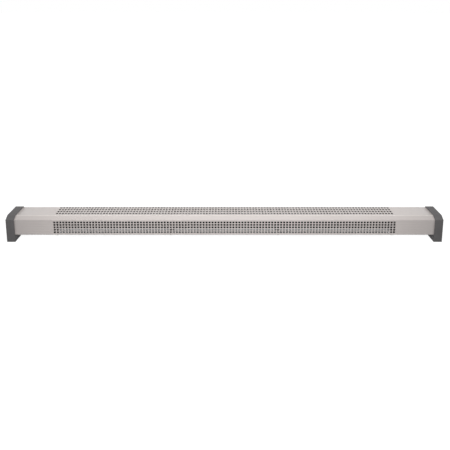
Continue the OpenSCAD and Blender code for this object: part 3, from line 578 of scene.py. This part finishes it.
def makeScrews():
    i, s, p = inside, section, screwPlaces
    # the last value of addScrew turns each screw its own way
    flange = i["sheet"] + i["flange"] / 2
    coverRows = [side * (i["partition"] + flange) for side in (-1, 1)]
    coverRows += [side * (i["support"] - flange) for side in (-1, 1)]
    bm = bmesh.new()
    for k, x in enumerate(coverRows):
        addScrew(bm, (x, p["casingY"], s["gap"]), (0, 0, -1), screws["casing"], 0.7 * k)
    finishPiece("casingScrews", bm, "plated_steel", ["cover_screws"])

    bm = bmesh.new()
    endColumn = i["casingEnd"] - i["endSheet"] - p["wiringCoverEnd"]
    for k, x in enumerate((i["partition"] + flange, endColumn)):
        for side in (-1, 1):
            addScrew(bm, (side * x, p["wiringCoverY"], s["gap"]), (0, 0, -1), screws["wiringCover"],
                     0.9 * k + side)
    finishPiece("wiringCoverScrews", bm, "plated_steel", ["wiring_cover_screws"])

    bm = bmesh.new()
    seat = s["length"] / 2 - cap["recessDepth"]
    for side in (-1, 1):
        for k, y in enumerate((-cap["screwSpacing"] / 2, cap["screwSpacing"] / 2)):
            addScrew(bm, (side * seat, y, cap["screwHeight"]), (side, 0, 0), screws["cap"],
                     0.35 + 0.6 * k)
    finishPiece("capScrews", bm, "plated_steel", ["cap_screws"])

    bm = bmesh.new()
    for k, z in enumerate(p["cutoutHeights"]):
        addScrew(bm, (i["partition"] + p["cutoutSeat"], p["cutoutY"], z), (1, 0, 0), screws["cutout"],
                 0.8 * k)
    finishPiece("cutoutScrews", bm, "plated_steel", ["cutout_screws"])

    bm = bmesh.new()
    for k, x in enumerate(p["blockColumns"]):
        addScrew(bm, (x, p["blockY"], p["blockSeat"]), (0, 0, 1), screws["block"], 0.4 + k)
    finishPiece("blockScrews", bm, "plated_steel", ["block_screws"])
    print("screws made")


# Blind rivets: a domed set head, the shank, and the pressed end

rivet = dict(radius=1.6 * mm, setHead=1.9, pressedHead=1.4, rise=0.9 * mm, baseInset=7 * mm,
             backHeights=(29 * mm, 54 * mm), baffleHeights=(39 * mm, 55 * mm),
             bracketY=-17.2 * mm, baffleY=-24 * mm, baffleGrip=1.8 * mm)


def addRivet(bm, spot, towards, grip):
    # the set head sits at spot and looks towards, the pressed end is a grip away
    r, rise = rivet["radius"], rivet["rise"]
    big, small = r * rivet["setHead"], r * rivet["pressedHead"]
    levels = [(0.45 * small, -grip - rise), (0.8 * small, -grip - 0.85 * rise),
              (small, -grip - 0.45 * rise), (small, -grip), (r, -grip), (r, 0), (big, 0),
              (big, 0.3 * rise), (0.85 * big, 0.66 * rise), (0.6 * big, 0.88 * rise),
              (0.34 * big, rise), (0.27 * big, 0.72 * rise)]
    part, _ = turnSolid(levels)
    addPart(bm, part, aim(spot, towards))


def makeRivets():
    i, r = inside, rivet
    end, plain = (i["endSheet"], i["endFlange"]), (i["sheet"], i["flange"])
    # place of each web, the way its flanges point, its sheet and the flange's width
    webs = [(-i["casingEnd"], 1, *end), (-i["partition"], -1, *plain), (-i["support"], 1, *plain),
            (i["support"], -1, *plain), (i["partition"], 1, *plain), (i["casingEnd"], -1, *end)]
    bm = bmesh.new()
    for x, way, sheet, width in webs:
        x += way * (sheet + width / 2)
        addRivet(bm, (x, i["wall"] - r["baseInset"], section["gap"]), (0, 0, -1), i["sheet"] + sheet)
        for z in r["backHeights"]:
            addRivet(bm, (x, i["wallBack"], z), (0, 1, 0), i["sheet"] + sheet)
    finishPiece("chassisRivets", bm, "rivet_aluminium", ["chassis_rivets"])

    bm = bmesh.new()
    for side in (-1, 1):
        web, flange = side * (i["partition"] - i["sheet"]), side * (i["partition"] - i["flange"] / 2)
        for z in r["baffleHeights"]:
            addRivet(bm, (web, r["bracketY"], z), (-side, 0, 0), 2 * i["sheet"])
            addRivet(bm, (flange, r["baffleY"], z), (0, -1, 0), r["baffleGrip"])
    finishPiece("baffleRivets", bm, "black_paint", ["baffle_rivets"])
    print("rivets made")


# Heating tube: one leg, the bend, the other leg

tube = dict(radius=4 * mm, sides=32, bendAt=-457 * mm, bendSteps=32, wall=0.6 * mm, seal=0.5 * mm)


def makeTube():
    t, i = tube, inside
    front, rear = i["legs"]
    bm = bmesh.new()
    bmesh.ops.create_circle(bm, cap_ends=False, radius=t["radius"], segments=t["sides"],
                            matrix=aim((i["tubeEnd"], front, i["tubeHeight"]), (1, 0, 0)))
    startEdges = list(bm.edges)
    run = t["bendAt"] - i["tubeEnd"]
    verts, edges = pullEdges(bm, startEdges)
    bmesh.ops.translate(bm, verts=verts, vec=(run, 0, 0))
    last = bmesh.ops.spin(bm, geom=edges, cent=(t["bendAt"], (front + rear) / 2, i["tubeHeight"]),
                          axis=(0, 0, -1), dvec=(0, 0, 0), angle=math.pi, steps=t["bendSteps"],
                          use_merge=False)["geom_last"]
    verts, endEdges = pullEdges(bm, [g for g in last if isinstance(g, bmesh.types.BMEdge)])
    bmesh.ops.translate(bm, verts=verts, vec=(-run, 0, 0))
    # each end has a sunk seal
    for ring in (startEdges, endEdges):
        floor = bmesh.ops.contextual_create(bm, geom=ring)["faces"][0]
        bmesh.ops.inset_individual(bm, faces=[floor], thickness=t["wall"], depth=-t["seal"],
                                   use_even_offset=True)
    finishPiece("heatingTube", bm, "tube_steel", ["heating_tube"])


# Bushes, nuts and terminals of the element

fittings = dict(hexCorners=15 * mm, head=4 * mm, bush=5.5 * mm, bushTail=8 * mm, nut=4 * mm,
                bore=4 * mm, chamfer=0.5 * mm, threadPitch=1 * mm, threadDepth=0.3 * mm,
                bead=3.4 * mm, beadLength=6 * mm, pin=1.2 * mm, pinTail=3 * mm, pinTip=0.3 * mm,
                tab=(8 * mm, 6.3 * mm, 0.8 * mm), tabSunk=1.5 * mm)
blade = dict(hole=0.9 * mm, holeAt=0.55, tip=0.25, tipSlope=0.6)  # all but the hole are shares
chamferSlope = 0.6  # rise of a nut's chamfer over its width


def addNut(bm, spot, towards, corners, thickness, bore, chamfer):
    # a hexagon with chamfered corners and a round bore, from spot towards
    part = bmesh.new()
    bmesh.ops.create_circle(part, cap_ends=True, radius=corners / 2 - chamfer, segments=6)
    face = part.faces[:][0]
    rise = chamfer * chamferSlope
    for height, radius in ((rise, corners / 2), (thickness - rise, corners / 2),
                           (thickness, corners / 2 - chamfer)):
        face = growFace(part, face, height, radius)
    bottom = flatFace(part, lambda p: p.z < touch)
    rings = []
    for flat, height in ((bottom, 0), (face, thickness)):
        rings += openFace(part, flat, [circlePoints((0, 0, height), bore, (1, 0, 0), (0, 1, 0))])[0]
    bmesh.ops.bridge_loops(part, edges=rings)
    addPart(bm, part, aim(spot, towards))


def addThread(bm, spot, towards, radius, bore, length, pitch, depth):
    # a tube with rolled grooves outside
    profile = [(bore, 0), (radius - depth, 0)]
    for k in range(int(length / pitch)):
        profile += [(radius, (k + 0.35) * pitch), (radius - depth, (k + 0.85) * pitch)]
    profile += [(radius - depth, length), (bore, length)]
    addPart(bm, spinRing(profile), aim(spot, towards))


def addBlade(bm, base, towards, across, size):
    # a push-on blade with a locking hole and a chamfered tip
    length, width, sheet = size
    part = bmesh.new()
    half, tip = width / 2, blade["tip"] * width
    flat = half - tip * blade["tipSlope"]
    shape = [(0, -half), (length - tip, -half), (length, -flat), (length, flat),
             (length - tip, half), (0, half)]
    rings = []
    for z in (-sheet / 2, sheet / 2):
        face = part.faces.new([part.verts.new((x, y, z)) for x, y in shape])
        rings.append(list(face.edges))
        hole = circlePoints((blade["holeAt"] * length, 0, z), blade["hole"], (1, 0, 0), (0, 1, 0), 16)
        rings += openFace(part, face, [hole])
    bmesh.ops.bridge_loops(part, edges=rings[0] + rings[2])
    bmesh.ops.bridge_loops(part, edges=rings[1] + rings[3])
    x, y = Vector(towards), Vector(across)
    turned = Matrix((x, y, x.cross(y))).transposed().to_4x4()
    addPart(bm, part, Matrix.Translation(base) @ turned)


def makeElementFittings():
    f, i = fittings, inside
    legs = [(y, i["tubeHeight"]) for y in i["legs"]]
    bm = bmesh.new()
    for leg in legs:
        addNut(bm, (i["partition"], *leg), (-1, 0, 0), f["hexCorners"], f["head"], f["bore"],
               f["chamfer"])
        addThread(bm, (i["partition"], *leg), (1, 0, 0), f["bush"], f["bore"],
                  i["sheet"] + f["bushTail"], f["threadPitch"], f["threadDepth"])
    finishPiece("elementBushes", bm, "brass", ["element_bushes"])

    bm = bmesh.new()
    for leg in legs:
        addNut(bm, (i["partition"] + i["sheet"], *leg), (1, 0, 0), f["hexCorners"], f["nut"], f["bush"],
               f["chamfer"])
    finishPiece("elementNuts", bm, "brass", ["element_nuts"])

    bm = bmesh.new()
    for leg in legs:
        r, length = f["bead"], f["beadLength"]
        profile = [(f["pin"], 0), (r, 0), (r, 0.3 * length), (0.8 * r, 0.36 * length),
                   (0.8 * r, 0.9 * length), (0.72 * r, length), (f["pin"], length)]
        addPart(bm, spinRing(profile), aim((i["tubeEnd"], *leg), (1, 0, 0)))
    finishPiece("terminalBeads", bm, "ceramic", ["terminal_beads"])

    bm = bmesh.new()
    pin, pinLength, sunk = f["pin"], f["beadLength"] + f["pinTail"], f["tabSunk"]
    tabLength, *tabSection = f["tab"]
    for leg in legs:
        part, _ = turnSolid([(pin, 0), (pin, pinLength - f["pinTip"]), (0.8 * pin, pinLength)], 20)
        addPart(bm, part, aim((i["tubeEnd"], *leg), (1, 0, 0)))
        addBlade(bm, (i["tubeEnd"] + pinLength - sunk, *leg), (1, 0, 0), (0, 1, 0),
                 (tabLength + sunk, *tabSection))
    finishPiece("terminalPins", bm, "plated_steel", ["terminal_pins"])
    print("element fittings made")


# Overheat cut-out: a round housing on a strap, with two blades

cutout = dict(radius=6.5 * mm, length=9 * mm, strap=1 * mm, strapWidth=7 * mm, earOffset=9.5 * mm,
              earHole=1.55 * mm, height=35 * mm, middle=7.5 * mm, blades=(3.5 * mm, 11.5 * mm),
              bladeSize=(9 * mm, 6.3 * mm, 0.8 * mm), bladeSunk=1 * mm, terminal=0.6 * mm)


def makeCutout():
    c = cutout
    face = inside["partition"] + inside["sheet"]
    bm = bmesh.new()
    r, length = c["radius"], c["length"] + c["strap"]
    levels = [(r, 0), (r, 0.42 * length), (0.94 * r, 0.46 * length), (0.94 * r, 0.9 * length),
              (0.86 * r, length), (0.5 * r, length), (0.46 * r, length - c["terminal"])]
    part, _ = turnSolid(levels, 40)
    addPart(bm, part, aim((face, c["middle"], c["height"]), (1, 0, 0)))

    # strap with round ends and screw holes
    part = bmesh.new()
    ear = c["strapWidth"] / 2
    top = circlePoints((c["earOffset"], 0, 0), ear, (0, -1, 0), (1, 0, 0), 24)[:13]
    bottom = circlePoints((-c["earOffset"], 0, 0), ear, (0, 1, 0), (-1, 0, 0), 24)[:13]
    rings = []
    for z in (0, c["strap"]):
        lift = Vector((0, 0, z))
        flat = part.faces.new([part.verts.new(p + lift) for p in top + bottom])
        rims = list(flat.edges)
        holes = [circlePoints((side * c["earOffset"], 0, z), c["earHole"], (1, 0, 0), (0, 1, 0), 16)
                 for side in (-1, 1)]
        rings.append((rims, *openFace(part, flat, holes)))
    for low, high in zip(*rings):
        bmesh.ops.bridge_loops(part, edges=low + high)
    turned = Matrix(((0, 0, 1), (0, -1, 0), (1, 0, 0))).to_4x4()
    addPart(bm, part, Matrix.Translation((face, c["middle"], c["height"])) @ turned)
    for y in c["blades"]:
        addBlade(bm, (face + length - c["bladeSunk"], y, c["height"]), (1, 0, 0), (0, 0, 1),
                 c["bladeSize"])
    finishPiece("overheatCutout", bm, "black_plastic", ["overheat_cutout"])
    print("cut-out made")


# Wires: each runs on a smooth curve between its ends, with sleeves over the blades

wires = dict(radius=1.1 * mm, sides=14, steps=28, sleeve=(8.8 * mm, 7.4 * mm, 2.8 * mm),
             sleeveEdge=0.7 * mm)
# node, material and the four control points of each wire, in millimetres
routes = dict(
    liveWire=("live_wire", "brown_sleeving",
              [(495, 9, 26.4), (495, -7, 26.4), (479.2, -2.5, 35), (463.2, 3.5, 35)]),
    linkWire=("link_wire", "brown_sleeving",
              [(463.2, 11.5, 35), (477.2, 11.5, 37), (498.2, -6, 46), (484.2, -6, 48)]),
    neutralWire=("neutral_wire", "blue_sleeving",
                 [(506, 9, 26.4), (506, -7, 26.4), (510.2, 5, 48), (484.2, 21, 48)]),
    earthWire=("earth_wire", "green_sleeving",
               [(517, 9, 26.4), (517, -7, 26.4), (538, 3.3, 48), (538, 19.3, 54)]))
# sleeves on each wire: the middle of the blade and the way across it, in millimetres
sleeves = dict(
    liveWire=[((460, 3.5, 35), (0, 0, 1))],
    linkWire=[((460, 11.5, 35), (0, 0, 1)), ((481, -6, 48), (0, 1, 0))],
    neutralWire=[((481, 21, 48), (0, 1, 0))],
    earthWire=[])


def curvePoint(p, t):
    # a point on the Bezier curve of four control points
    u = 1 - t
    return p[0] * u ** 3 + p[1] * 3 * t * u * u + p[2] * 3 * t * t * u + p[3] * t ** 3


def addWire(bm, controls):
    w = wires
    controls = [Vector(p) * mm for p in controls]
    points = [curvePoint(controls, k / w["steps"]) for k in range(w["steps"] + 1)]
    heading = (points[1] - points[0]).normalized()
    bmesh.ops.create_circle(bm, cap_ends=False, radius=w["radius"], segments=w["sides"],
                            matrix=aim(points[0], heading))
    first = edges = list(bm.edges)
    for k in range(1, len(points)):
        ahead = (points[min(k + 1, w["steps"])] - points[k - 1]).normalized()
        verts, edges = pullEdges(bm, edges)
        bmesh.ops.rotate(bm, verts=verts, cent=points[k - 1],
                         matrix=heading.rotation_difference(ahead).to_matrix())
        bmesh.ops.translate(bm, verts=verts, vec=points[k] - points[k - 1])
        heading = ahead
    for ring in (first, edges):
        bmesh.ops.contextual_create(bm, geom=ring)


def addSleeve(bm, middle, across):
    length, width, thick = wires["sleeve"]
    part = bmesh.new()
    bmesh.ops.create_cube(part, size=1)
    bmesh.ops.scale(part, vec=(length, width, thick), verts=part.verts)
    bmesh.ops.bevel(part, geom=part.edges[:], offset=wires["sleeveEdge"], offset_type="OFFSET",
                    segments=3, profile=0.5, affect="EDGES", material=-1, clamp_overlap=True)
    x, y = Vector((1, 0, 0)), Vector(across)
    turned = Matrix((x, y, x.cross(y))).transposed().to_4x4()
    addPart(bm, part, Matrix.Translation(Vector(middle) * mm) @ turned)


def makeWires():
    for name, (node, slot, controls) in routes.items():
        bm = bmesh.new()
        addWire(bm, controls)
        for middle, across in sleeves[name]:
            addSleeve(bm, middle, across)
        finishPiece(name, bm, slot, [node])
    print("wires made")


# Earth stud and nut

earth = dict(x=538 * mm, z=54 * mm, radius=2 * mm, length=12 * mm, tip=0.4 * mm, head=3.8 * mm,
             rise=0.9 * mm, pitch=0.7 * mm, nut=8 * mm, nutLength=3.2 * mm, nutChamfer=0.4 * mm)


def makeEarth():
    e, sheet = earth, inside["sheet"]
    spot = e["x"], inside["wall"], e["z"]
    r, head, rise, start = e["radius"], e["head"], e["rise"], -e["length"] + e["tip"]
    levels = [(0.8 * r, -e["length"]), (r, start)]
    for k in range(int(e["length"] / e["pitch"]) - 1):
        height = start + (k + 0.5) * e["pitch"]
        levels += [(0.86 * r, height), (r, height + e["pitch"] / 2)]
    levels += [(r, sheet), (head, sheet), (head, sheet + 0.4 * rise), (0.7 * head, sheet + rise)]
    bm = bmesh.new()
    part, _ = turnSolid(levels)
    addPart(bm, part, aim(spot, (0, 1, 0)))
    finishPiece("earthStud", bm, "brass", ["earth_stud"])
    bm = bmesh.new()
    addNut(bm, spot, (0, -1, 0), e["nut"], e["nutLength"], r, e["nutChamfer"])
    finishPiece("earthNut", bm, "plated_steel", ["earth_nut"])


# Cable gland: a gripped dome under the base, a thread through it and a nut above

gland = dict(x=538 * mm, y=15 * mm, head=10.5 * mm, headRise=5 * mm, grips=24, gripDepth=0.5 * mm,
             gripRise=0.62, dome=((0.85, 0.9), (1.0, 0.72)), bore=4 * mm, boreSides=32, above=8 * mm,
             thread=8 * mm, threadPitch=1.5 * mm, threadDepth=0.5 * mm,
             nutCorners=20 * mm, nutRise=5 * mm, nutChamfer=0.6 * mm)


def makeGland():
    g, base = gland, section["gap"]
    bm = bmesh.new()
    # head: gripped round its side, then a dome in steps of height and radius
    part = bmesh.new()
    grips = 2 * g["grips"]
    outer = [Vector((math.cos(2 * math.pi * k / grips), math.sin(2 * math.pi * k / grips), 0))
             * (g["head"] - (k % 2) * g["gripDepth"]) for k in range(grips)]
    face = part.faces.new([part.verts.new(p) for p in outer])
    made = bmesh.ops.extrude_face_region(part, geom=[face])["geom"]
    bmesh.ops.translate(part, verts=vertsIn(made), vec=(0, 0, g["gripRise"] * g["headRise"]))
    face = next(f for f in made if isinstance(f, bmesh.types.BMFace))
    for height, share in g["dome"]:
        face = growFace(part, face, height * g["headRise"], share * g["head"])
    rings = []
    for flat, height in ((face, g["headRise"]), (flatFace(part, lambda p: p.z < touch), 0)):
        bore = circlePoints((0, 0, height), g["bore"], (1, 0, 0), (0, 1, 0), g["boreSides"])
        rings += openFace(part, flat, [bore])[0]
    bmesh.ops.bridge_loops(part, edges=rings)
    addPart(bm, part, aim((g["x"], g["y"], base), (0, 0, -1)))
    addThread(bm, (g["x"], g["y"], base), (0, 0, 1), g["thread"], g["bore"],
              inside["sheet"] + g["above"], g["threadPitch"], g["threadDepth"])
    finishPiece("cableGland", bm, "black_plastic", ["cable_gland"])
    bm = bmesh.new()
    addNut(bm, (g["x"], g["y"], base + inside["sheet"]), (0, 0, 1), g["nutCorners"], g["nutRise"],
           g["thread"], g["nutChamfer"])
    finishPiece("glandNut", bm, "black_plastic", ["gland_nut"])
    print("earth and gland made")


makeCasing()
makeCap("capRight", "end_cap_right", 1)
makeCap("capLeft", "end_cap_left", -1)
print("caps made")
makeScrews()
makeRivets()
makeTube()
makeElementFittings()
makeCutout()
makeWires()
makeEarth()
makeGland()


# Camera, as in the photograph: the frame is shifted down to the heater

view = dict(lens=39.32, sensor=36, pitch=10.13, away=1228 * mm, height=660 * mm, side=1.45 * mm,
            shift=-0.32)


def makeCamera():
    data = bpy.data.cameras.new("camera")
    data.lens = view["lens"]
    data.sensor_width = view["sensor"]
    data.shift_y = view["shift"]
    camera = bpy.data.objects.new("camera", data)
    bpy.context.scene.collection.objects.link(camera)
    camera.location = (view["side"], -section["depth"] / 2 - view["away"], view["height"])
    camera.rotation_euler = (math.radians(90 - view["pitch"]), 0, 0)
    bpy.context.scene.camera = camera


# Floor, backdrop and lamps

studio = dict(floorSize=30, floorTone=0.35, glow=0.9,
              skyLow=0.12, skyHigh=0.56, skyReach=(0.1, 0.6),
              shadeLength=(0.55, 0.58), shadeFront=(0.008, 0.015), shadeBack=(0.034, 0.054))


def addMath(tree, operation, a, b):
    node = tree.nodes.new("ShaderNodeMath")
    node.operation = operation
    for socket, value in zip(node.inputs, (a, b)):
        if isinstance(value, bpy.types.NodeSocket):
            tree.links.new(value, socket)
        else:
            socket.default_value = value
    return node.outputs[0]


def seenRays(tree):
    # 1 for rays from the camera and from gloss or glass, 0 for the rays that light the heater
    path = tree.nodes.new("ShaderNodeLightPath")
    sight = addMath(tree, "MAXIMUM", path.outputs["Is Camera Ray"], path.outputs["Is Glossy Ray"])
    return addMath(tree, "MAXIMUM", sight, path.outputs["Is Transmission Ray"])


def makeFloor():
    s = studio
    bm = bmesh.new()
    bmesh.ops.create_grid(bm, x_segments=1, y_segments=1, size=s["floorSize"] / 2)
    mesh = bpy.data.meshes.new("floor")
    bm.to_mesh(mesh)
    bm.free()
    floor = bpy.data.objects.new("floor", mesh)
    bpy.context.scene.collection.objects.link(floor)

    material = bpy.data.materials.new("floorWhite")
    material.use_nodes = True
    tree = material.node_tree
    tree.nodes.clear()
    out = tree.nodes.new("ShaderNodeOutputMaterial")
    paper = tree.nodes.new("ShaderNodeBsdfDiffuse")
    paper.inputs["Color"].default_value = (s["floorTone"],) * 3 + (1,)
    glow = tree.nodes.new("ShaderNodeEmission")
    # the glow fades out in the shade under and close behind the heater
    coords = tree.nodes.new("ShaderNodeTexCoord")
    axes = tree.nodes.new("ShaderNodeSeparateXYZ")
    tree.links.new(coords.outputs["Object"], axes.inputs[0])
    along = addMath(tree, "ABSOLUTE", axes.outputs["X"], 0.0)
    shade = addRange(tree, along, 1.0, 0.0, *s["shadeLength"])
    for low, high, reach in ((0.0, 1.0, s["shadeFront"]), (1.0, 0.0, s["shadeBack"])):
        fade = addRange(tree, axes.outputs["Y"], low, high, *reach)
        shade = addMath(tree, "MULTIPLY", shade, fade)
    lit = addMath(tree, "SUBTRACT", 1.0, shade)
    strength = addMath(tree, "MULTIPLY", addMath(tree, "MULTIPLY", seenRays(tree), s["glow"]), lit)
    tree.links.new(strength, glow.inputs["Strength"])
    both = tree.nodes.new("ShaderNodeAddShader")
    tree.links.new(paper.outputs["BSDF"], both.inputs[0])
    tree.links.new(glow.outputs["Emission"], both.inputs[1])
    tree.links.new(both.outputs["Shader"], out.inputs["Surface"])
    mesh.materials.append(material)


def makeWorld():
    world = bpy.data.worlds.new("studio")
    bpy.context.scene.world = world
    world.use_nodes = True
    tree = world.node_tree
    tree.nodes.clear()
    out = tree.nodes.new("ShaderNodeOutputWorld")
    light = tree.nodes.new("ShaderNodeBackground")
    light.inputs["Color"].default_value = (1, 1, 1, 1)
    # the light is brighter from above than from the sides
    axes = tree.nodes.new("ShaderNodeSeparateXYZ")
    tree.links.new(tree.nodes.new("ShaderNodeTexCoord").outputs["Generated"], axes.inputs[0])
    sky = addRange(tree, axes.outputs["Z"], studio["skyLow"], studio["skyHigh"], *studio["skyReach"])
    seen = seenRays(tree)
    unseen = addMath(tree, "SUBTRACT", 1.0, seen)
    strength = addMath(tree, "ADD", seen, addMath(tree, "MULTIPLY", unseen, sky))
    tree.links.new(strength, light.inputs["Strength"])
    tree.links.new(light.outputs[0], out.inputs["Surface"])


def makeLamp(name, spot, target, size, power, gloss=True):
    data = bpy.data.lights.new(name, "AREA")
    data.shape = "RECTANGLE"
    data.size, data.size_y = size
    data.energy = power
    lamp = bpy.data.objects.new(name, data)
    bpy.context.scene.collection.objects.link(lamp)
    lamp.location = spot
    lamp.rotation_mode = "QUATERNION"
    lamp.rotation_quaternion = (Vector(target) - Vector(spot)).to_track_quat("-Z", "Y")
    lamp.visible_glossy = gloss


lamps = dict(
    overhead=dict(spot=(0.02, 0.05, 1.1), target=(0.02, 0, 0), size=(0.8, 0.4), power=0.6),
    backLeft=dict(spot=(-0.88, 0.62, 1.0), target=(-0.4, 0, 0.05), size=(0.25, 0.25), power=0.8),
    backRight=dict(spot=(0.88, 0.62, 1.0), target=(0.4, 0, 0.05), size=(0.25, 0.25), power=0.8),
    frontFill=dict(spot=(-0.01, -0.78, 0.58), target=(-0.01, 0, 0.04), size=(0.45, 0.35), power=4.15,
                   gloss=False))

makeCamera()
makeFloor()
makeWorld()
for lampName, lamp in lamps.items():
    makeLamp(lampName, **lamp)
bpy.context.scene.view_settings.view_transform = "Standard"
# smoothed guides would run the small holes of the grilles together
bpy.context.scene.cycles.denoising_prefilter = "NONE"

print("scene ready")
